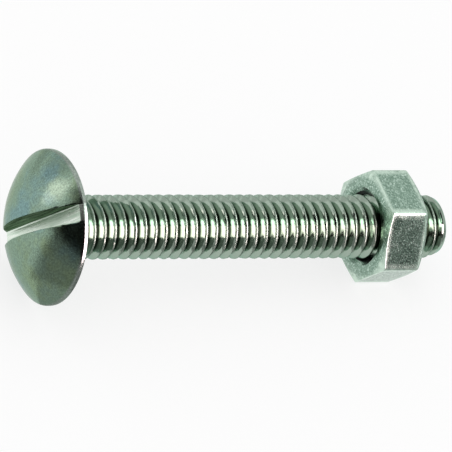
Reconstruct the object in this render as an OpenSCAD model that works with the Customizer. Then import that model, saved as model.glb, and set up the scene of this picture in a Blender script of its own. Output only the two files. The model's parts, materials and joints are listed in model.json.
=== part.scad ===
// Stove bolt: a slotted mushroom-head machine bolt with a hex nut run down near
// its point. It lies at rest on its head's rim and on one flat of the nut.
// Millimetres, +X towards the bolt's point, +Z up, floor at Z = 0.

/* [Bolt] */
// Outside diameter of the thread
thread_d = 7.85; // [5:0.05:10]
// Length from under the head to the point
bolt_len = 54; // [25:0.5:100]
// Length of the tapered point
point_len = 1.6; // [0.5:0.1:3]
// How much the point narrows to its flat end, each side
point_taper = 0.575; // [0.2:0.025:1.5]
// Radius of the corner where the shank meets the head
neck_fillet = 0.3; // [0.1:0.05:0.8]

/* [Head] */
// Diameter of the head
head_d = 18.9; // [15.5:0.1:25]
// Height of the domed top above its rim
crown_h = 4; // [3:0.1:7]
// Thickness of the head at its rim
rim_h = 0.55; // [0.4:0.05:2]
// Rounding of the rim's edge on the underside
rim_round = 0.15; // [0.05:0.01:0.3]

/* [Slot] */
// Width of the screwdriver slot
slot_w = 2.15; // [1:0.05:3]
// Metal left between the floor of the slot and the underside of the head
slot_floor = 0.9; // [0.5:0.05:2.5]
// How far the slot is turned from upright, as the bolt lies
slot_turn = 31.4; // [0:0.1:180]

/* [Nut] */
// Width of the nut across its flats
nut_af = 12.6; // [11:0.1:15]
// Thickness of the nut
nut_h = 5.9; // [3:0.1:9]
// Diameter of the flat ring on each face of the nut
nut_face_d = 10.9; // [9.5:0.1:12.4]
// Slope of the chamfer on the nut's corners
nut_chamfer_deg = 16; // [12:1:40]
// How much wider the mouth of the nut's bore is than the thread, each side
mouth_extra = 0.95; // [0.15:0.05:1.25]
// How far the bolt stands out of the nut
stick_out = 4.43; // [2:0.01:15]
// Running clearance between the nut's bore and the thread, each side
thread_gap = 0.05; // [0.02:0.01:0.09]

/* [Hidden] */
$fn = 96;
eps = 0.01;
thread_r = thread_d / 2;
head_r = head_d / 2;
point_r = thread_r - point_taper;
flat_r = nut_af / 2;
head_h = rim_h + crown_h;
slot_depth = head_h - slot_floor;
dome_r = (head_r * head_r + crown_h * crown_h) / (2 * crown_h);
dome_z = dome_r - head_h;
neck_r = min(neck_fillet, (head_r - thread_r) / 2);
nut_z = bolt_len - stick_out - nut_h;
bore_r = thread_r + thread_gap;
mouth_r = thread_r + mouth_extra;
mouth_h = mouth_r - bore_r;
// the chamfer bites least at the middle of a flat, so the flat is longest there
flat_bite = max(0, (flat_r - nut_face_d / 2) * tan(nut_chamfer_deg));
flat_end = nut_z + nut_h - flat_bite;

// as it lies, the rim's rounded edge and the far end of one nut flat touch the floor
drop = head_r - rim_round - flat_r;
reach = rim_round + flat_end;
tilt = atan2(drop, reach) + asin(rim_round / sqrt(drop * drop + reach * reach));
seat_z = (head_r - rim_round) * cos(tilt) + rim_round * (1 - sin(tilt));
// the dome's farthest point may fall inside the slot, and the slot's edge then stands farthest
slot_miss = max(0, slot_w / 2 - dome_r * sin(tilt) * abs(sin(slot_turn)));
back_x = dome_z * cos(tilt) - sqrt(dome_r * dome_r - slot_miss * slot_miss);
front_x = bolt_len * cos(tilt) + point_r * sin(tilt);
seat_x = -(back_x + front_x) / 2;

// half of the bolt's outline: radius along X, distance from under the head along Y
module head_outline() {
    intersection() {
        translate([0, dome_z]) circle(r = dome_r);
        translate([0, -head_h - eps]) square([head_r, crown_h + eps]);
    }
    translate([0, -rim_h - eps]) square([head_r, rim_h - rim_round + eps]);
    translate([0, -rim_round - eps]) square([head_r - rim_round, rim_round + eps]);
    intersection() {
        translate([head_r - rim_round, -rim_round]) circle(r = rim_round);
        translate([head_r - rim_round - eps, -rim_round])
            square([rim_round + eps, rim_round]);
    }
}

module shank_outline() {
    translate([0, -eps]) square([thread_r, bolt_len - point_len + eps]);
    polygon([
        [0, bolt_len - point_len - eps],
        [thread_r, bolt_len - point_len - eps],
        [thread_r, bolt_len - point_len],
        [point_r, bolt_len],
        [0, bolt_len]
    ]);
    difference() {
        translate([thread_r - eps, -eps]) square([neck_r + eps, neck_r + eps]);
        translate([thread_r + neck_r, neck_r]) circle(r = neck_r);
    }
}

// from its own axis, with the underside of the head at Z = 0, to how it lies
module lie() {
    translate([seat_x, 0, seat_z]) rotate([0, 90 + tilt, 0]) children();
}

// slotted domed head and its plain-drawn threaded shank
module bolt() {
    color([0.62, 0.66, 0.63])
    lie()
    difference() {
        rotate_extrude() {
            head_outline();
            shank_outline();
        }
        rotate([0, 0, slot_turn])
            translate([-head_r - 1, -slot_w / 2, -head_h - 1])
                cube([head_d + 2, slot_w, slot_depth + 1]);
    }
}

// hex nut, its corners chamfered on both faces and its bore countersunk at both ends
module hex_nut() {
    color([0.55, 0.60, 0.60])
    lie()
    translate([0, 0, nut_z])
    difference() {
        intersection() {
            rotate([0, 0, 30]) cylinder(h = nut_h, r = flat_r / cos(30), $fn = 6);
            nut_chamfers();
        }
        translate([0, 0, -1]) cylinder(h = nut_h + 2, r = bore_r);
        translate([0, 0, -eps])
            cylinder(h = mouth_h + eps, r1 = mouth_r + eps, r2 = bore_r);
        translate([0, 0, nut_h - mouth_h])
            cylinder(h = mouth_h + eps, r1 = bore_r, r2 = mouth_r + eps);
    }
}

// one chamfered end, and the same turned over for the other
module nut_chamfers() {
    out_r = flat_r / cos(30) + 0.1;
    slope = tan(nut_chamfer_deg);
    start = [nut_face_d / 2 - eps / slope, -eps];
    end = [out_r, (out_r - nut_face_d / 2) * slope];
    rotate_extrude()
    intersection() {
        polygon([[0, -eps], start, end, [out_r, nut_h + eps], [0, nut_h + eps]]);
        translate([0, nut_h]) mirror([0, 1])
            polygon([[0, -eps], start, end, [out_r, nut_h + eps], [0, nut_h + eps]]);
    }
}

bolt();
hex_nut();
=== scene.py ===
import json
import math
import bpy
from mathutils import Matrix, Vector, noise


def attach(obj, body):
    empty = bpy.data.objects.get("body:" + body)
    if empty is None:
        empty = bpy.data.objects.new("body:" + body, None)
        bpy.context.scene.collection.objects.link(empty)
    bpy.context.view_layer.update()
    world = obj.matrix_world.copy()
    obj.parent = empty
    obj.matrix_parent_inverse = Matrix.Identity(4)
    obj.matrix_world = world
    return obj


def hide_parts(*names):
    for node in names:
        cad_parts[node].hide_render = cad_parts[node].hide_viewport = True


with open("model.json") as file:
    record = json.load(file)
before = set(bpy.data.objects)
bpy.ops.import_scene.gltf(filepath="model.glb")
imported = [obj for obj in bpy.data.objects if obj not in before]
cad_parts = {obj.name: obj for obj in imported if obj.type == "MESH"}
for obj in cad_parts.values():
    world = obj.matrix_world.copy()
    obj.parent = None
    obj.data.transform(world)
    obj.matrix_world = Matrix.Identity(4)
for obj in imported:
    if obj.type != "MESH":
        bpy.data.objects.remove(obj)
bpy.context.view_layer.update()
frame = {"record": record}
print("frame loaded")

# The pieces are made in millimetres, standing on the bolt's own axis with the underside
# of the head at Z = 0 and the point upwards, and are then laid down as the CAD lies.
toMetres = 0.001
toMillimetres = 1000
mounts = {m["name"]: m for m in frame["record"]["mounts"]}
underHead = Vector(mounts["under_head"]["pos_m"])
nutFace = Vector(mounts["nut_face"]["pos_m"])
pointEnd = Vector(mounts["thread_end"]["pos_m"])
alongBolt = Vector(mounts["under_head"]["axis"]).normalized()
across = Vector((0, 1, 0))
downward = across.cross(alongBolt)
turnDown = Matrix((downward, across, alongBolt)).transposed()
standUp = turnDown.transposed()
layDown = Matrix.Translation(underHead) @ turnDown.to_4x4() @ Matrix.Scale(toMetres, 4)
boltLength = (pointEnd - underHead).length * toMillimetres
nutStart = (nutFace - underHead).length * toMillimetres

weld = 1e-4                  # mm, and points closer together than this become one


def deselectAll():
    if bpy.context.object and bpy.context.object.mode != "OBJECT":
        bpy.ops.object.mode_set(mode="OBJECT")
    bpy.ops.object.select_all(action="DESELECT")


def pick(piece):
    deselectAll()
    piece.select_set(True)
    bpy.context.view_layer.objects.active = piece


def applyModifier(piece, kind, **settings):
    pick(piece)
    modifier = piece.modifiers.new(kind.title(), kind)
    for key, value in settings.items():
        setattr(modifier, key, value)
    bpy.ops.object.modifier_apply(modifier=modifier.name)


def joinWith(piece, tool, operation):
    applyModifier(piece, "BOOLEAN", object=tool, operation=operation, solver="EXACT")
    bpy.data.objects.remove(tool)


def selectEdges(piece, test):
    # leaves the piece in edit mode, with the edges selected whose two ends pass the test
    pick(piece)
    bpy.ops.object.mode_set(mode="EDIT")
    bpy.ops.mesh.select_mode(type="EDGE")
    bpy.ops.mesh.select_all(action="DESELECT")
    bpy.ops.object.mode_set(mode="OBJECT")
    points = piece.data.vertices
    for edge in piece.data.edges:
        edge.select = test(points[edge.vertices[0]].co, points[edge.vertices[1]].co)
    bpy.ops.object.mode_set(mode="EDIT")


def arc(centreR, centreZ, radius, fromDeg, toDeg, steps):
    # points round a bend: 0 degrees is along the axis, and 90 is straight out from it
    turns = [math.radians(fromDeg + (toDeg - fromDeg) * i / steps) for i in range(steps + 1)]
    return [(centreR + radius * math.sin(t), centreZ + radius * math.cos(t)) for t in turns]


def between(start, end, steps):
    # the points that cut a straight stretch into equal steps, without its two ends
    (r0, z0), (r1, z1) = start, end
    return [(r0 + (r1 - r0) * i / steps, z0 + (z1 - z0) * i / steps) for i in range(1, steps)]


def drawOutline(name, points):
    # a plane merged to one corner, and drawn on from there: radius along X, height along Z
    deselectAll()
    bpy.ops.mesh.primitive_plane_add(size=1, location=(0, 0, 0))
    piece = bpy.context.object
    piece.name = name
    bpy.ops.object.mode_set(mode="EDIT")
    bpy.ops.mesh.select_mode(type="VERT")
    bpy.ops.mesh.select_all(action="SELECT")
    bpy.ops.mesh.merge(type="CENTER")
    bpy.ops.transform.translate(value=(points[0][0], 0, points[0][1]))
    for (r0, z0), (r1, z1) in zip(points, points[1:]):
        bpy.ops.mesh.extrude_vertices_move(TRANSFORM_OT_translate={"value": (r1 - r0, 0, z1 - z0)})
    bpy.ops.object.mode_set(mode="OBJECT")
    return piece


def revolve(name, points, steps, **settings):
    # an outline turned about the axis, with its seam joined and its faces turned outwards
    piece = drawOutline(name, points)
    applyModifier(piece, "SCREW", axis="Z", angle=2 * math.pi, steps=steps, render_steps=steps,
                  use_merge_vertices=True, merge_threshold=weld, use_smooth_shade=True, **settings)
    pick(piece)
    bpy.ops.object.mode_set(mode="EDIT")
    bpy.ops.mesh.select_all(action="SELECT")
    bpy.ops.mesh.remove_doubles(threshold=weld)
    bpy.ops.mesh.normals_make_consistent(inside=False)
    bpy.ops.object.mode_set(mode="OBJECT")
    return piece


def smoothStep(low, high, value):
    share = min(1.0, max(0.0, (value - low) / (high - low)))
    return share * share * (3 - 2 * share)


thread = {
    "pitch": 25.4 / 18,      # 18 turns to the inch
    "flankAngle": 60,        # degrees between two flanks
    "crestRadius": 3.925,
    "depth": 0.86,
    "crestShare": 0.6,       # of the flat left between the flanks, how much is on the crest
    "crestRound": 0.13,
    "rootRound": 0.12,
    "outlineSteps": 3,       # on each flank and each round
    "turnSteps": 72,
    "crestPhase": 0.40,      # height of a crest above the head on the line that lies lowest
    "sink": 0.4,             # how deep in the head the rod starts, before they are joined
    "blankRadius": 3.5,      # the wire before rolling, left bare at the neck
    "runOut": (0.25, 1.9),   # heights between which the thread grows out of the bare neck
    "pointLength": 1.3,
    "pointTaper": 0.5,
    "nicks": 1.7,            # per mm, along the crests
    "nickDepth": 0.09,
    "nickReach": 0.6,        # how far down the crest's round they go, as a share of it
}


def threadOutline(crestRadius, rootRadius):
    # one pitch, root to root: rounded root, straight flank, rounded crest, and down again
    half = thread["pitch"] / 2
    crest = thread["crestRound"]
    root = thread["rootRound"]
    steps = thread["outlineSteps"]
    bend = 90 - thread["flankAngle"] / 2         # degrees that each round turns through
    roundDepth = (crest + root) * (1 - math.cos(math.radians(bend)))
    roundWidth = (crest + root) * math.sin(math.radians(bend))
    flankDepth = crestRadius - rootRadius - roundDepth
    flankWidth = flankDepth * math.tan(math.radians(thread["flankAngle"] / 2))
    spare = max(0.0, half - roundWidth - flankWidth)
    crestFlat = spare * thread["crestShare"]
    rootFlat = spare - crestFlat
    foot = arc(rootRadius + root, rootFlat - half, root, -90, bend - 90, steps)
    top = arc(crestRadius - crest, -crestFlat, crest, 90 + bend, 90, steps)
    rise = [(rootRadius, -half)] + foot + between(foot[-1], top[0], steps) + top
    return rise + [(r, -z) for r, z in reversed(rise)]


def threadRod(name, low, high, crestRadius, rootRadius):
    # it runs past low and high by a turn or more, and trimEnds cuts it there
    pitch = thread["pitch"]
    firstTurn = math.floor((low - thread["crestPhase"]) / pitch) - 1
    turns = math.ceil((high - low) / pitch) + 3
    base = thread["crestPhase"] + firstTurn * pitch
    outline = [(r, z + base) for r, z in threadOutline(crestRadius, rootRadius)]
    return revolve(name, outline, thread["turnSteps"], screw_offset=pitch, iterations=turns)


def trimEnds(rod, low, high):
    pick(rod)
    bpy.ops.object.mode_set(mode="EDIT")
    for height, below in ((low, True), (high, False)):
        bpy.ops.mesh.select_all(action="SELECT")
        bpy.ops.mesh.bisect(plane_co=(0, 0, height), plane_no=(0, 0, 1), use_fill=True,
                            clear_inner=below, clear_outer=not below)
    bpy.ops.mesh.select_all(action="SELECT")
    bpy.ops.mesh.normals_make_consistent(inside=False)
    bpy.ops.object.mode_set(mode="OBJECT")


def shapeThread(rod):
    # the thread grows out of the bare neck, its crests are cut away along the point, and all
    # along it they have small nicks from knocking against other bolts
    bare = thread["blankRadius"]
    nicked = thread["crestRadius"] - thread["crestRound"] * thread["nickReach"]
    for vertex in rod.data.vertices:
        radius = math.hypot(vertex.co.x, vertex.co.y)
        grown = smoothStep(*thread["runOut"], vertex.co.z)
        target = bare + (radius - bare) * grown
        alongPoint = max(0, vertex.co.z - (boltLength - thread["pointLength"]))
        limit = thread["crestRadius"] - thread["pointTaper"] * alongPoint / thread["pointLength"]
        target = min(target, limit)
        if radius > nicked:
            target -= thread["nickDepth"] * max(0, noise.noise(vertex.co * thread["nicks"]))
        vertex.co.x *= target / radius
        vertex.co.y *= target / radius


head = {
    "diameter": 18.9,
    "crown": 4.0,
    "rim": 0.55,
    "edgeRound": 0.1,
    "edgeAngle": 28,         # degrees, and edges sharper than this are rounded
    "domeSteps": 30,
    "undersideRings": (0.7, 0.5),    # shares of the radius at which the flat underside is divided
    "neckRound": 0.3,
    "neckSteps": 6,
    "stub": (0.2, 0.3),      # how far inside the wire, and up past the neck, it ends in the shank
    "slotWidth": 2.15,
    "slotFloor": 0.9,        # metal left between the slot's floor and the underside
    "slotTurn": 31.4,        # degrees from the line that lies lowest
    "slotFloorRound": 0.13,
    "slotLipRound": 0.07,
    "cutterSpare": 2,        # how far the slot's cutter stands out of the head
    "steps": 144,
}
headRadius = head["diameter"] / 2
headHeight = head["rim"] + head["crown"]
domeRadius = (headRadius ** 2 + head["crown"] ** 2) / (2 * head["crown"])
domeCentre = domeRadius - headHeight
slotTurn = math.radians(head["slotTurn"])


def slotCutter():
    # a block with two long edges rounded, because the slot's floor meets its walls in a round
    deselectAll()
    floor = -head["slotFloor"]
    spare = head["cutterSpare"]
    deep = headHeight - head["slotFloor"] + spare
    bpy.ops.mesh.primitive_cube_add(size=1)
    cutter = bpy.context.object
    cutter.scale = (head["diameter"] + 2 * spare, head["slotWidth"], deep)
    cutter.location = (0, 0, floor - deep / 2)
    bpy.ops.object.transform_apply(location=True, rotation=True, scale=True)
    selectEdges(cutter, lambda a, b: min(a.z, b.z) > floor - weld and abs(a.y - b.y) < weld)
    bpy.ops.mesh.bevel(offset=head["slotFloorRound"], segments=3)
    bpy.ops.object.mode_set(mode="OBJECT")
    cutter.data.transform(Matrix.Rotation(slotTurn, 4, "Z"))
    return cutter


def easeSlotLips(body):
    sideways = Vector((-math.sin(slotTurn), math.cos(slotTurn), 0))
    centre = Vector((0, 0, domeCentre))
    offWall = 0.002          # mm: an edge nearer than this to the slot's wall
    offDome = 0.05           # and nearer than this to the dome is on a lip
    shortEdge = 0.05         # mm, and edges shorter than this would spoil the bevel

    def onLip(point):
        wall = abs(abs(point.dot(sideways)) - head["slotWidth"] / 2)
        dome = abs((point - centre).length - domeRadius)
        return wall < offWall and dome < offDome

    selectEdges(body, lambda a, b: onLip(a) and onLip(b))
    bpy.ops.mesh.remove_doubles(threshold=shortEdge)
    bpy.ops.object.mode_set(mode="OBJECT")
    selectEdges(body, lambda a, b: onLip(a) and onLip(b))
    bpy.ops.mesh.bevel(offset=head["slotLipRound"], segments=2, clamp_overlap=False)
    bpy.ops.object.mode_set(mode="OBJECT")


def makeHead():
    bare = thread["blankRadius"]
    neck = head["neckRound"]
    inside, past = head["stub"]
    spread = math.degrees(math.asin(headRadius / domeRadius))
    outline = arc(0, domeCentre, domeRadius, 180, 180 - spread, head["domeSteps"])
    outline += [(headRadius, 0)]
    outline += [(headRadius * share, 0) for share in head["undersideRings"]]
    outline += arc(bare + neck, neck, neck, 180, 270, head["neckSteps"])
    outline += [(bare - inside, neck + past), (0, neck + past)]
    body = revolve("bolt_detail", outline, head["steps"])
    applyModifier(body, "BEVEL", width=head["edgeRound"], segments=3, limit_method="ANGLE",
                  angle_limit=math.radians(head["edgeAngle"]), offset_type="OFFSET")
    joinWith(body, slotCutter(), "DIFFERENCE")
    easeSlotLips(body)
    return body


def makeBolt():
    low = -thread["sink"]
    root = thread["crestRadius"] - thread["depth"]
    rod = threadRod("rod", low, boltLength, thread["crestRadius"], root)
    shapeThread(rod)
    trimEnds(rod, low, boltLength)
    print("thread made")
    body = makeHead()
    print("head made")
    joinWith(body, rod, "UNION")
    return body


nut = {
    "acrossFlats": 12.6,
    "thickness": 5.9,
    "faceDiameter": 10.9,
    "chamfer": 16,           # degrees
    "cornerRound": 0.45,
    "nearRound": 0.08,       # rounding where the chamfer meets the flats, on the head's side
    "farRound": 0.5,         # and on the other
    "mouthDiameter": 9.75,
    "mouthDepth": 1.75,
    "oiledShadeRadius": 4.4,      # inside it the countersink is painted nearly black, as oiled bare steel and painted shade, and outside it plated
    "boreRadius": 3.3,
    "tapLeaves": 0.2,        # metal left in the bore for the tap to cut, each side
    "tapOver": 0.9,          # how far the tap stands out of each face
    "threadRoom": 0.06,      # radial room over the bolt's thread
    "faceSteps": 3,
    "chamferSteps": 5,
    "roundSteps": 6,
    "sideSteps": 6,
    "liftShare": 0.1,        # of the thickness, at each face, which follows the chamfer in full
    "steps": 480,
}
flatRadius = nut["acrossFlats"] / 2
cornerRadius = flatRadius / math.cos(math.radians(30))
faceRadius = nut["faceDiameter"] / 2
chamferSlope = math.tan(math.radians(nut["chamfer"]))
cornerBite = (cornerRadius - faceRadius) * chamferSlope


def halfNutOutline(edgeRound):
    # half the round blank's outline, from its bore over one face to its side: radius, and
    # depth from that face
    mouth = nut["mouthDiameter"] / 2
    bore = nut["boreRadius"] - nut["tapLeaves"]
    oiled = nut["oiledShadeRadius"]
    oiledShadeDepth = nut["mouthDepth"] * (mouth - oiled) / (mouth - bore)
    setback = edgeRound * math.tan(math.radians((90 - nut["chamfer"]) / 2))
    outline = [(bore, nut["mouthDepth"]), (oiled, oiledShadeDepth), (mouth, 0)]
    outline += between((mouth, 0), (faceRadius, 0), nut["faceSteps"])
    outline += [(faceRadius, 0)]
    outline += between((faceRadius, 0), (cornerRadius, cornerBite), nut["chamferSteps"])
    outline += arc(cornerRadius - edgeRound, cornerBite + setback, edgeRound,
                   180 - nut["chamfer"], 90, nut["roundSteps"])
    return outline


def hexRadius(turn):
    # distance from the axis to the side of the hexagon, whose corners are rounded
    sector = math.radians(60)
    offCorner = abs((turn % sector) - sector / 2)
    bend = nut["cornerRound"]
    centre = (flatRadius - bend) / math.cos(sector / 2)
    tangent = math.atan2(bend * math.sin(sector / 2), centre + bend * math.cos(sector / 2))
    if offCorner < tangent:
        return centre * math.cos(offCorner) + math.sqrt(bend ** 2 - (centre * math.sin(offCorner)) ** 2)
    return flatRadius / math.cos(sector / 2 - offCorner)


def pressHexagon(blank):
    # the round blank is pressed to a hexagon, and its chamfers keep their slope
    thick = nut["thickness"]
    share = nut["liftShare"]
    for vertex in blank.data.vertices:
        x, y, z = vertex.co
        radius = math.hypot(x, y)
        if radius > faceRadius:
            outward = hexRadius(math.atan2(y, x)) - cornerRadius
            pressed = radius + outward * (radius - faceRadius) / (cornerRadius - faceRadius)
            nearFace = smoothStep(thick / 2, thick * share, z)
            farFace = smoothStep(thick / 2, thick * (1 - share), z)
            lift = (pressed - radius) * chamferSlope * (nearFace - farFace)
            vertex.co = (x * pressed / radius, y * pressed / radius, z + lift)


def makeNut():
    thick = nut["thickness"]
    near = halfNutOutline(nut["nearRound"])
    far = [(r, thick - z) for r, z in halfNutOutline(nut["farRound"])]
    side = between((cornerRadius, cornerBite), (cornerRadius, thick - cornerBite), nut["sideSteps"])
    body = revolve("hex_nut_detail", near + side + far[::-1] + near[:1], nut["steps"])
    pressHexagon(body)
    body.data.transform(Matrix.Translation((0, 0, nutStart)))
    low = nutStart - nut["tapOver"]
    high = nutStart + thick + nut["tapOver"]
    tap = threadRod("tap", low, high, thread["crestRadius"] + nut["threadRoom"], nut["boreRadius"])
    trimEnds(tap, low, high)
    joinWith(body, tap, "DIFFERENCE")
    return body


shading = {
    "smoothAngle": 32,       # degrees, and edges sharper than this stay crisp
    "faceWeight": 60,
}


def finishPiece(piece, body, node):
    piece.data.transform(layDown)
    pick(piece)
    bpy.ops.object.shade_smooth_by_angle(angle=math.radians(shading["smoothAngle"]))
    applyModifier(piece, "WEIGHTED_NORMAL", keep_sharp=True, weight=shading["faceWeight"])
    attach(piece, body)
    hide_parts(node)
    triangles = sum(len(p.vertices) - 2 for p in piece.data.polygons)
    print(piece.name, "has", triangles, "triangles")


bolt = makeBolt()
finishPiece(bolt, "bolt", "bolt")
hexNut = makeNut()
finishPiece(hexNut, "nut", "hex_nut")


def linear(hexColour):
    channels = [int(hexColour[i:i + 2], 16) / 255 for i in (1, 3, 5)]
    return [c / 12.92 if c <= 0.04045 else ((c + 0.055) / 1.055) ** 2.4 for c in channels] + [1.0]


def addNode(material, kind, settings=None, **links):
    # settings go to sockets or properties; links join a socket's name, or in0, in1, to an output
    node = material.node_tree.nodes.new(kind)
    for key, value in (settings or {}).items():
        if isinstance(key, int) or key in node.inputs:
            node.inputs[key].default_value = value
        else:
            setattr(node, key, value)
    for key, source in links.items():
        socket = int(key[2:]) if key.startswith("in") and key[2:].isdigit() else key.replace("_", " ")
        material.node_tree.links.new(source, node.inputs[socket])
    return node


def newMetal(name):
    material = bpy.data.materials.new(name)
    material.use_nodes = True
    shader = material.node_tree.nodes["Principled BSDF"]
    shader.inputs["Metallic"].default_value = 1.0
    # the bolt's own space in millimetres: Z along its axis, from the underside of the head
    place = addNode(material, "ShaderNodeTexCoord").outputs["Object"]
    own = addNode(material, "ShaderNodeMapping", {
        "Scale": (toMillimetres, toMillimetres, toMillimetres),
        "Rotation": standUp.to_euler(),
        "Location": standUp @ underHead * -toMillimetres}, Vector=place).outputs["Vector"]
    return material, shader, own


def distanceFromAxis(material, own):
    flat = addNode(material, "ShaderNodeVectorMath", {"operation": "MULTIPLY", 1: (1, 1, 0)}, in0=own)
    return addNode(material, "ShaderNodeVectorMath", {"operation": "LENGTH"},
                   in0=flat.outputs["Vector"]).outputs["Value"]


def finishMetal(material, shader, colour, roughness, height, depth):
    # depth is the relief's full height in millimetres
    bump = addNode(material, "ShaderNodeBump", {"Distance": depth * toMetres}, Height=height)
    sources = {"Base Color": colour, "Roughness": roughness, "Normal": bump.outputs["Normal"]}
    for socket, source in sources.items():
        material.node_tree.links.new(source, shader.inputs[socket])


# In each finish a noise's Scale is in lumps per mm, From is the part of the noise that a mask
# or a roughness answers to, and grazing is the tint of the metal's gleam at a low angle.

headLook = {
    "steel": "#88A18E",
    "cool": "#80A09E",
    "warm": "#8AA083",
    "rim": "#9DA9A0",
    "rimBand": (0.22, 0.06),     # mm in from the edge, where the rim's colour begins and is full
    "grazing": "#DDE7DF",
    "patches": {"Scale": 0.16, "Detail": 3.0, "Roughness": 0.6},
    "coolPatches": {"From Min": 0.52, "From Max": 0.66},
    "warmPatches": {"From Min": 0.46, "From Max": 0.36},
    # the tumbled grain is about 0.1 mm, drawn at 0.24 so that it shows
    "grain": {"Scale": 4.2, "Detail": 3.0, "Roughness": 0.65},
    "grainShade": {"From Min": 0.35, "From Max": 0.7, "To Min": 0.72, "To Max": 1.2},
    "grainDepth": 0.012,
    "smears": {"Scale": 1.1, "Detail": 3.0, "Roughness": 0.6},
    "roughness": {"From Min": 0.35, "From Max": 0.65, "To Min": 0.15, "To Max": 0.24},
}


def satinZincHead():
    # zinc-plated steel, cold headed and then tumbled: a soft, fine-grained satin with faint
    # bluish and yellowish patches from its passivation, and a rim burnished by the tumbling
    material, shader, own = newMetal("satinZincHead")
    patches = addNode(material, "ShaderNodeTexNoise", headLook["patches"], Vector=own).outputs["Fac"]
    cool = addNode(material, "ShaderNodeMapRange", headLook["coolPatches"], Value=patches)
    warm = addNode(material, "ShaderNodeMapRange", headLook["warmPatches"], Value=patches)
    begins, full = headLook["rimBand"]
    rim = addNode(material, "ShaderNodeMapRange", {
        "From Min": headRadius - begins, "From Max": headRadius - full},
        Value=distanceFromAxis(material, own))
    tint = addNode(material, "ShaderNodeMix", {
        "data_type": "RGBA", 6: linear(headLook["steel"]), 7: linear(headLook["cool"])},
        in0=cool.outputs["Result"]).outputs[2]
    for colour, where in (("warm", warm), ("rim", rim)):
        tint = addNode(material, "ShaderNodeMix", {"data_type": "RGBA", 7: linear(headLook[colour])},
                       in0=where.outputs["Result"], in6=tint).outputs[2]
    grain = addNode(material, "ShaderNodeTexNoise", headLook["grain"], Vector=own).outputs["Fac"]
    shade = addNode(material, "ShaderNodeMapRange", headLook["grainShade"], Value=grain)
    colour = addNode(material, "ShaderNodeVectorMath", {"operation": "SCALE"},
                     in0=tint, Scale=shade.outputs["Result"])
    smears = addNode(material, "ShaderNodeTexNoise", headLook["smears"], Vector=own)
    roughness = addNode(material, "ShaderNodeMapRange", headLook["roughness"],
                        Value=smears.outputs["Fac"])
    shader.inputs["Specular Tint"].default_value = linear(headLook["grazing"])
    finishMetal(material, shader, colour.outputs["Vector"], roughness.outputs["Result"], grain,
                headLook["grainDepth"])
    return material


slotLook = {
    # the floor's pale colours hold a painted highlight, and the walls' dark ones painted shade
    "floor": ("#CFE2D1", "#F2FAF1"),
    "wall": ("#455747", "#9DAF9B"),
    "sawMark": (3.5, 0.2, 0.2),      # size in mm: along the slot, across it and into it
    "sawMarks": {"Scale": 1.0, "Detail": 3.0, "Roughness": 0.6},     # in the mark's own size
    "bright": {"From Min": 0.38, "From Max": 0.62},
    "markDepth": 0.012,
    "roughness": {"From Min": 0.3, "From Max": 0.7, "To Min": 0.42, "To Max": 0.24},
}


def sawnZincSlotPaintedLitAndShaded(part):
    # the slot is sawn after heading, and fine saw lines run along its floor and walls; the floor is
    # painted pale, scraped metal with a painted highlight, and the walls dark, drag marks with painted
    # shade
    material, shader, own = newMetal("sawnZincSlotPaintedLitAndShaded" + part.title())
    dark, light = slotLook[part]
    along = addNode(material, "ShaderNodeMapping", {
        "vector_type": "TEXTURE", "Rotation": (0, 0, slotTurn), "Scale": slotLook["sawMark"]},
        Vector=own)
    marks = addNode(material, "ShaderNodeTexNoise", slotLook["sawMarks"],
                    Vector=along.outputs["Vector"]).outputs["Fac"]
    bright = addNode(material, "ShaderNodeMapRange", slotLook["bright"], Value=marks)
    tint = addNode(material, "ShaderNodeMix", {"data_type": "RGBA", 6: linear(dark), 7: linear(light)},
                   in0=bright.outputs["Result"]).outputs[2]
    roughness = addNode(material, "ShaderNodeMapRange", slotLook["roughness"], Value=marks)
    shader.inputs["Specular Tint"].default_value = linear(light)
    finishMetal(material, shader, tint, roughness.outputs["Result"], marks, slotLook["markDepth"])
    return material


threadLook = {
    "steel": "#A3B3A5",
    "crest": "#7C8C7F",
    # the valleys are painted darker and the roots nearly black: painted shade in the thread's hollows
    "valley": "#687A68",
    "root": "#1C261B",
    "grazing": "#C5E4D8",
    "crestBand": (0.07, 0.01),   # mm under the crests, where their colour begins and is full
    "valleyBand": (0.3, 0.12),   # mm over the roots, where the valleys' does
    "rootBand": (0.15, 0.05),    # and the roots' own
    "nicks": {"Scale": 5.0, "Detail": 4.0, "Roughness": 0.7},
    "nicked": {"From Min": 0.38, "From Max": 0.62},
    "nickDepth": 0.045,
    "rollingMarks": {"Scale": 14.0, "Detail": 1.0},      # marks per mm of the thread's depth
    "rollingHeight": {"To Max": 0.05},                   # as a share of a nick's depth
    "roughness": {"From Min": 0.4, "From Max": 0.7, "To Min": 0.09, "To Max": 0.17},
    "crestRoughness": 0.38,
}


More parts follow.
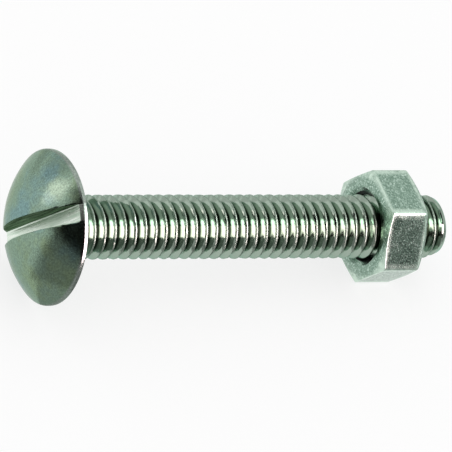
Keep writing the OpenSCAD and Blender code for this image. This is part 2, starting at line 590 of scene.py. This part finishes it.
def rolledZincThread():
    # zinc-plated thread rolled between polished dies: bright flanks with fine marks along the helix, dull
    # nicked crests where threads knocked together, and valleys painted darker and roots nearly black, which
    # is painted shade in the thread's hollows
    material, shader, own = newMetal("rolledZincThread")
    radius = distanceFromAxis(material, own)
    top = thread["crestRadius"]
    foot = top - thread["depth"]
    bands = {"crest": [top - depth for depth in threadLook["crestBand"]],
             "valley": [foot + height for height in threadLook["valleyBand"]],
             "root": [foot + height for height in threadLook["rootBand"]]}
    mask = {}
    for name, (begins, full) in bands.items():
        mask[name] = addNode(material, "ShaderNodeMapRange", {"From Min": begins, "From Max": full},
                             Value=radius).outputs["Result"]
    nicks = addNode(material, "ShaderNodeTexNoise", threadLook["nicks"], Vector=own).outputs["Fac"]
    nicked = addNode(material, "ShaderNodeMapRange", threadLook["nicked"], Value=nicks)
    worn = addNode(material, "ShaderNodeMath", {"operation": "MULTIPLY"}, in0=mask["crest"],
                   in1=nicked.outputs["Result"])
    tint = addNode(material, "ShaderNodeMix", {
        "data_type": "RGBA", 6: linear(threadLook["steel"]), 7: linear(threadLook["crest"])},
        in0=worn.outputs["Value"]).outputs[2]
    # painted shade: the valleys darken and the roots go nearly black
    for name in ("valley", "root"):
        tint = addNode(material, "ShaderNodeMix", {"data_type": "RGBA", 7: linear(threadLook[name])},
                       in0=mask[name], in6=tint).outputs[2]
    haze = addNode(material, "ShaderNodeMapRange", threadLook["roughness"], Value=nicks)
    roughness = addNode(material, "ShaderNodeMix", {
        "data_type": "FLOAT", 3: threadLook["crestRoughness"]},
        in0=mask["crest"], in2=haze.outputs["Result"])
    # the rolling marks go round with the helix, so they change with the radius alone
    rings = addNode(material, "ShaderNodeCombineXYZ", in0=radius)
    marks = addNode(material, "ShaderNodeTexNoise", threadLook["rollingMarks"],
                    Vector=rings.outputs["Vector"])
    marks = addNode(material, "ShaderNodeMapRange", threadLook["rollingHeight"],
                    Value=marks.outputs["Fac"])
    bruise = addNode(material, "ShaderNodeMath", {"operation": "MULTIPLY"}, in0=mask["crest"], in1=nicks)
    height = addNode(material, "ShaderNodeMath", {"operation": "ADD"}, in0=bruise.outputs["Value"],
                     in1=marks.outputs["Result"])
    shader.inputs["Specular Tint"].default_value = linear(threadLook["grazing"])
    finishMetal(material, shader, tint, roughness.outputs[0], height.outputs["Value"],
                threadLook["nickDepth"])
    return material


nutLook = {
    "dark": "#74907F",
    "steel": "#9FBAAA",
    "light": "#D4E9DB",
    "worn": "#D0E6D6",
    # the blasted grain is about 0.1 mm, drawn at 0.24 so that it shows
    "grain": {"Scale": 4.2, "Detail": 3.0, "Roughness": 0.7},
    "unpitted": {"From Min": 0.4, "From Max": 0.6},
    "sparks": {"From Min": 0.56, "From Max": 0.68},
    "grainDepth": 0.018,
    "clouds": {"Scale": 0.7, "Detail": 3.0, "Roughness": 0.6},
    "roughness": {"From Min": 0.3, "From Max": 0.7, "To Min": 0.14, "To Max": 0.22},
    "wornRoughness": 0.27,
    # the corners and rims are painted paler: burnished metal, and partly a painted highlight
    "cornerWearAndHighlight": 0.85,          # mm of burnished metal on each side of the nut's corners
    "cornerFull": 0.99,          # how far down the corners' wave it is full, as a share of its depth
    "rimWearAndHighlight": 0.4,              # mm of burnished metal on each side of the rims
    "rimFull": 0.1,              # the share of that within which it is full
    "nearRim": 0.2,              # mm from the end of a flat to the middle of its rim, by the head
    "farRim": 0.4,               # and at the other end
    "sideBand": (0.4, 0.1),      # mm inside the flats, where the wear begins and is full
    "patchiness": {"From Min": 0.35, "From Max": 0.55, "To Min": 0.45},
}


def rimWearAndHighlight(material, height, where):
    # 1 at one height on the axis, fading to nothing on both sides of it
    away = addNode(material, "ShaderNodeMath", {"operation": "SUBTRACT", 1: where}, in0=height)
    away = addNode(material, "ShaderNodeMath", {"operation": "ABSOLUTE"}, in0=away.outputs["Value"])
    reach = nutLook["rimWearAndHighlight"]
    return addNode(material, "ShaderNodeMapRange", {
        "From Min": reach, "From Max": reach * nutLook["rimFull"]},
        Value=away.outputs["Value"]).outputs["Result"]


def cornerWearAndHighlight(material, x, y):
    # a wave with its six lowest points at the corners
    turn = addNode(material, "ShaderNodeMath", {"operation": "ARCTAN2"}, in0=y, in1=x)
    sixfold = addNode(material, "ShaderNodeMath", {"operation": "MULTIPLY", 1: 6.0},
                      in0=turn.outputs["Value"])
    wave = addNode(material, "ShaderNodeMath", {"operation": "COSINE"}, in0=sixfold.outputs["Value"])
    reach = 6 * nutLook["cornerWearAndHighlight"] / cornerRadius
    return addNode(material, "ShaderNodeMapRange", {
        "From Min": -math.cos(reach), "From Max": -nutLook["cornerFull"]},
        Value=wave.outputs["Value"]).outputs["Result"]


def grainedZincNut():
    # cold-formed, descaled by blasting and then zinc plated: a coarse sparkling grain on the flats, and
    # edges that rubbed together in the box painted paler, as worn metal and partly as a painted highlight
    material, shader, own = newMetal("grainedZincNut")
    grain = addNode(material, "ShaderNodeTexNoise", nutLook["grain"], Vector=own).outputs["Fac"]
    clouds = addNode(material, "ShaderNodeTexNoise", nutLook["clouds"], Vector=own).outputs["Fac"]
    unpitted = addNode(material, "ShaderNodeMapRange", nutLook["unpitted"], Value=grain)
    sparks = addNode(material, "ShaderNodeMapRange", nutLook["sparks"], Value=grain)
    # the six corners, and the rims where the chamfers meet the flats, are painted paler: rubbed, and partly
    # a painted highlight
    parts = addNode(material, "ShaderNodeSeparateXYZ", in0=own)
    flatBite = (flatRadius - faceRadius) * chamferSlope
    flatStart = nutStart + flatBite
    flatEnd = nutStart + nut["thickness"] - flatBite
    nearRim = rimWearAndHighlight(material, parts.outputs["Z"], flatStart + nutLook["nearRim"])
    farRim = rimWearAndHighlight(material, parts.outputs["Z"], flatEnd - nutLook["farRim"])
    begins, full = nutLook["sideBand"]
    onSide = addNode(material, "ShaderNodeMapRange", {
        "From Min": flatRadius - begins, "From Max": flatRadius - full},
        Value=distanceFromAxis(material, own))
    patchiness = addNode(material, "ShaderNodeMapRange", nutLook["patchiness"], Value=clouds)
    wearAndHighlight = cornerWearAndHighlight(material, parts.outputs["X"], parts.outputs["Y"])
    for operation, other in (("MAXIMUM", nearRim), ("MAXIMUM", farRim),
                             ("MULTIPLY", onSide.outputs["Result"]),
                             ("MULTIPLY", patchiness.outputs["Result"])):
        wearAndHighlight = addNode(material, "ShaderNodeMath", {"operation": operation}, in0=wearAndHighlight,
                       in1=other).outputs["Value"]
    tint = addNode(material, "ShaderNodeMix", {
        "data_type": "RGBA", 6: linear(nutLook["dark"]), 7: linear(nutLook["steel"])},
        in0=unpitted.outputs["Result"]).outputs[2]
    # the worn colour goes on the corners and rims: wear, and partly a painted highlight
    for colour, where in (("light", sparks.outputs["Result"]), ("worn", wearAndHighlight)):
        tint = addNode(material, "ShaderNodeMix", {"data_type": "RGBA", 7: linear(nutLook[colour])},
                       in0=where, in6=tint).outputs[2]
    smears = addNode(material, "ShaderNodeMapRange", nutLook["roughness"], Value=clouds)
    roughness = addNode(material, "ShaderNodeMix", {"data_type": "FLOAT", 3: nutLook["wornRoughness"]},
                        in0=wearAndHighlight, in2=smears.outputs["Result"])
    finishMetal(material, shader, tint, roughness.outputs[0], grain, nutLook["grainDepth"])
    return material


boreLook = {
    # both colours are nearly black: bare oiled steel, darkened further as painted shade in the nut's mouth
    "steel": "#1F241F",
    "oil": "#0A0D0A",
    "film": {"Scale": 1.6, "Detail": 3.0, "Roughness": 0.6},
    "oiled": {"From Min": 0.4, "From Max": 0.6},
    "filmDepth": 0.01,
    "roughness": {"From Min": 0.3, "From Max": 0.7, "To Min": 0.45, "To Max": 0.22},
}


def oiledSteelBore():
    # the nut is tapped after plating, so its bore and countersink are bare steel under a film of
    # cutting oil with a dull gleam, painted nearly black, which is also painted shade in the nut's mouth
    material, shader, own = newMetal("oiledSteelBore")
    film = addNode(material, "ShaderNodeTexNoise", boreLook["film"], Vector=own).outputs["Fac"]
    oiled = addNode(material, "ShaderNodeMapRange", boreLook["oiled"], Value=film)
    tint = addNode(material, "ShaderNodeMix", {
        "data_type": "RGBA", 6: linear(boreLook["steel"]), 7: linear(boreLook["oil"])},
        in0=oiled.outputs["Result"]).outputs[2]
    roughness = addNode(material, "ShaderNodeMapRange", boreLook["roughness"], Value=film)
    finishMetal(material, shader, tint, roughness.outputs["Result"], film, boreLook["filmDepth"])
    return material


def dress(piece, materials, choose):
    # choose gives each face's material from its centre and normal in the bolt's own space
    piece.data.materials.clear()
    for material in materials:
        piece.data.materials.append(material)
    toOwn = layDown.inverted()
    for polygon in piece.data.polygons:
        polygon.material_index = choose(toOwn @ polygon.center, standUp @ polygon.normal)


# where one finish gives way to the next, in mm, and how squarely a face looks to count
borders = {
    "neckEnd": 0.1,
    "endFace": 0.01,
    "shankRadius": 4.5,
    "slotDepth": 0.5,
    "slotSlack": 0.002,
    "floorFacing": 0.15,
    "boreFacing": 0.1,
}


def boltSurface(point, normal):
    # 0 is the head and the point's end face, 1 the thread, 2 the slot's floor and 3 its walls
    aside = abs(point.y * math.cos(slotTurn) - point.x * math.sin(slotTurn))
    alongShank = borders["neckEnd"] < point.z < boltLength - borders["endFace"]
    if alongShank and math.hypot(point.x, point.y) < borders["shankRadius"]:
        return 1
    if point.z < -borders["slotDepth"] and aside < head["slotWidth"] / 2 + borders["slotSlack"]:
        roundTop = -head["slotFloor"] - head["slotFloorRound"]
        return 2 if normal.z < -borders["floorFacing"] and point.z > roundTop else 3
    return 0


def nutSurface(point, normal):
    # 0 is the plated outside, and 1 the bore
    inward = -(normal.x * point.x + normal.y * point.y)
    inBore = math.hypot(point.x, point.y) < nut["oiledShadeRadius"]
    return 1 if inBore and inward > borders["boreFacing"] else 0


dress(bolt, [satinZincHead(), rolledZincThread(), sawnZincSlotPaintedLitAndShaded("floor"), sawnZincSlotPaintedLitAndShaded("wall")], boltSurface)
dress(hexNut, [grainedZincNut(), oiledSteelBore()], nutSurface)
print("materials made")

view = {
    "distance": 1.033,       # metres
    "elevation": 42.04,
    "swing": 38.77,          # degrees from looking along +Y, towards +X
    "roll": 25.34,
    "lens": 677,
    "aimAlong": 24.52,       # mm from under the head
    "aimAside": (0.0, 0.059, 0.053),
    "nearest": 0.01,         # metres in front of the camera where its view begins
}


def placeCamera():
    aim = layDown @ Vector((0, 0, view["aimAlong"])) + Vector(view["aimAside"]) * toMetres
    rise = math.radians(view["elevation"])
    swing = math.radians(view["swing"])
    look = Vector((math.sin(swing) * math.cos(rise), math.cos(swing) * math.cos(rise), -math.sin(rise)))
    data = bpy.data.cameras.new("camera")
    data.lens = view["lens"]
    data.clip_start = view["nearest"]
    camera = bpy.data.objects.new("camera", data)
    bpy.context.scene.collection.objects.link(camera)
    turned = look.to_track_quat("-Z", "Y").to_matrix() @ Matrix.Rotation(math.radians(view["roll"]), 3, "Z")
    camera.matrix_world = Matrix.Translation(aim - look * view["distance"]) @ turned.to_4x4()
    bpy.context.scene.camera = camera


placeCamera()
print("camera placed")

studio = {
    "floorSize": 6,          # metres
    "floorColour": "#F8F8F8",
    "floorSheen": {"Roughness": 0.9, "Specular IOR Level": 0.1},
    "floorGlow": 0.75,       # share of the floor's white that its shadow can't take away
    "reach": 0.6,            # metres from the bolt to the curved cards
    # curved cards that only polished metal sees: from and to azimuth, from and to elevation, strength
    "curvedCards": {
        "darkSide": (158, 279, 0, 70, 0.01),
        "darkCorner": (142, 158, 0, 20, 0.02),
        "keyLight": (108, 142, 34, 58, 8.0),
        "darkOverhead": (-180, 180, 70, 90, 0.15),
        "darkShoulder": (-81, -64, 31, 60, 0.25),
        "backdrop": (-45, 120, 0, 34, 0.72),
    },
    # flat lights: their corners in mm, strength, and colour, which is a little pink so that the
    # greenish zinc gleams white; one lies along the shank and a small one stands beside the dome
    "flatLights": {
        "stripLight": (((-10, -50, 9), (20, -50, 9), (76, -50, 66), (-10, -50, 66)), 9.5, "#FFDDE8"),
        "domeLight": (((-50, 11, 13), (-49, 6.5, 25), (-42, 11, 32.5), (-44, 18, 22)), 2.2, "#FFF0F1"),
    },
    # grey cards that lie on the floor: from and to x, from and to y in mm, strength
    "floorCards": {
        "frontSoft": (-600, -31, -5, -3.2, 0.55),
        "frontDark": (-600, -60, -600, -5, 0.24),
        "frontShade": (-60, -33, -600, -5, 0.33),
        "frontHalf": (-33, -20, -600, -5, 0.52),
        "frontMiddle": (-20, 10, -600, -6.5, 0.3),
        "frontGrey": (10, 600, -600, -8.5, 0.4),
        "backGrey": (-60, 0, 48, 140, 0.7),
    },
    "cardHeight": 0.05,      # mm that they lie above the floor
}


def whitePaper():
    # matt white background paper: the camera, and metal that mirrors it, see most of its white
    # as a glow, and the rest of it takes the bolt's soft shadow
    paper = bpy.data.materials.new("whitePaper")
    paper.use_nodes = True
    shader = paper.node_tree.nodes["Principled BSDF"]
    shader.inputs["Base Color"].default_value = linear(studio["floorColour"])
    for socket, value in studio["floorSheen"].items():
        shader.inputs[socket].default_value = value
    glow = addNode(paper, "ShaderNodeEmission")
    path = addNode(paper, "ShaderNodeLightPath")
    seen = path.outputs["Is Camera Ray"]
    for ray in ("Is Glossy Ray", "Is Transmission Ray"):
        seen = addNode(paper, "ShaderNodeMath", {"operation": "MAXIMUM"}, in0=seen,
                       in1=path.outputs[ray]).outputs["Value"]
    share = addNode(paper, "ShaderNodeMath", {"operation": "MULTIPLY", 1: studio["floorGlow"]}, in0=seen)
    mix = addNode(paper, "ShaderNodeMixShader", in0=share.outputs["Value"], in1=shader.outputs["BSDF"],
                  in2=glow.outputs["Emission"])
    output = paper.node_tree.nodes["Material Output"]
    paper.node_tree.links.new(mix.outputs["Shader"], output.inputs["Surface"])
    return paper


def cardGlow(name, strength, colour):
    # a card or a soft light is an even glow, with no shading of its own
    material = bpy.data.materials.new(name)
    material.use_nodes = True
    material.node_tree.nodes.clear()
    glow = addNode(material, "ShaderNodeEmission", {"Strength": strength, "Color": linear(colour)})
    addNode(material, "ShaderNodeOutputMaterial", Surface=glow.outputs["Emission"])
    return material


def onlyReflected(card, strength, colour):
    card.data.materials.append(cardGlow(card.name + "Glow", strength, colour))
    card.visible_camera = False
    card.visible_diffuse = False
    card.visible_transmission = False
    card.visible_shadow = False


def addCurvedCard(name, azFrom, azTo, upFrom, upTo, strength):
    # part of a dome round the bolt
    deselectAll()
    bpy.ops.mesh.primitive_grid_add(x_subdivisions=12, y_subdivisions=6, size=2)
    card = bpy.context.object
    card.name = name
    for vertex in card.data.vertices:
        turn = math.radians(azFrom + (azTo - azFrom) * (vertex.co.x + 1) / 2)
        rise = math.radians(upFrom + (upTo - upFrom) * (vertex.co.y + 1) / 2)
        outward = Vector((math.sin(turn) * math.cos(rise), math.cos(turn) * math.cos(rise), math.sin(rise)))
        vertex.co = outward * studio["reach"]
    onlyReflected(card, strength, "#FFFFFF")


def addFlatCard(name, corners, strength, colour="#FFFFFF"):
    deselectAll()
    bpy.ops.mesh.primitive_plane_add(size=2)
    card = bpy.context.object
    card.name = name
    first, second, third, fourth = corners       # in turn round the card, as a plane's points aren't
    for vertex, corner in zip(card.data.vertices, (first, second, fourth, third)):
        vertex.co = Vector(corner) * toMetres
    onlyReflected(card, strength, colour)


def makeStudio():
    deselectAll()
    bpy.ops.mesh.primitive_plane_add(size=studio["floorSize"], location=(0, 0, 0))
    floor = bpy.context.object
    floor.name = "floor"
    floor.data.materials.append(whitePaper())
    world = bpy.data.worlds.new("world")
    bpy.context.scene.world = world
    world.use_nodes = True
    world.node_tree.nodes["Background"].inputs["Color"].default_value = linear("#FFFFFF")
    for name, card in studio["curvedCards"].items():
        addCurvedCard(name, *card)
    for name, light in studio["flatLights"].items():
        addFlatCard(name, *light)
    up = studio["cardHeight"]
    for name, (left, right, near, far, strength) in studio["floorCards"].items():
        corners = ((left, near, up), (right, near, up), (right, far, up), (left, far, up))
        addFlatCard(name, corners, strength)


makeStudio()
bpy.context.scene.view_settings.view_transform = "Standard"
print("studio made")
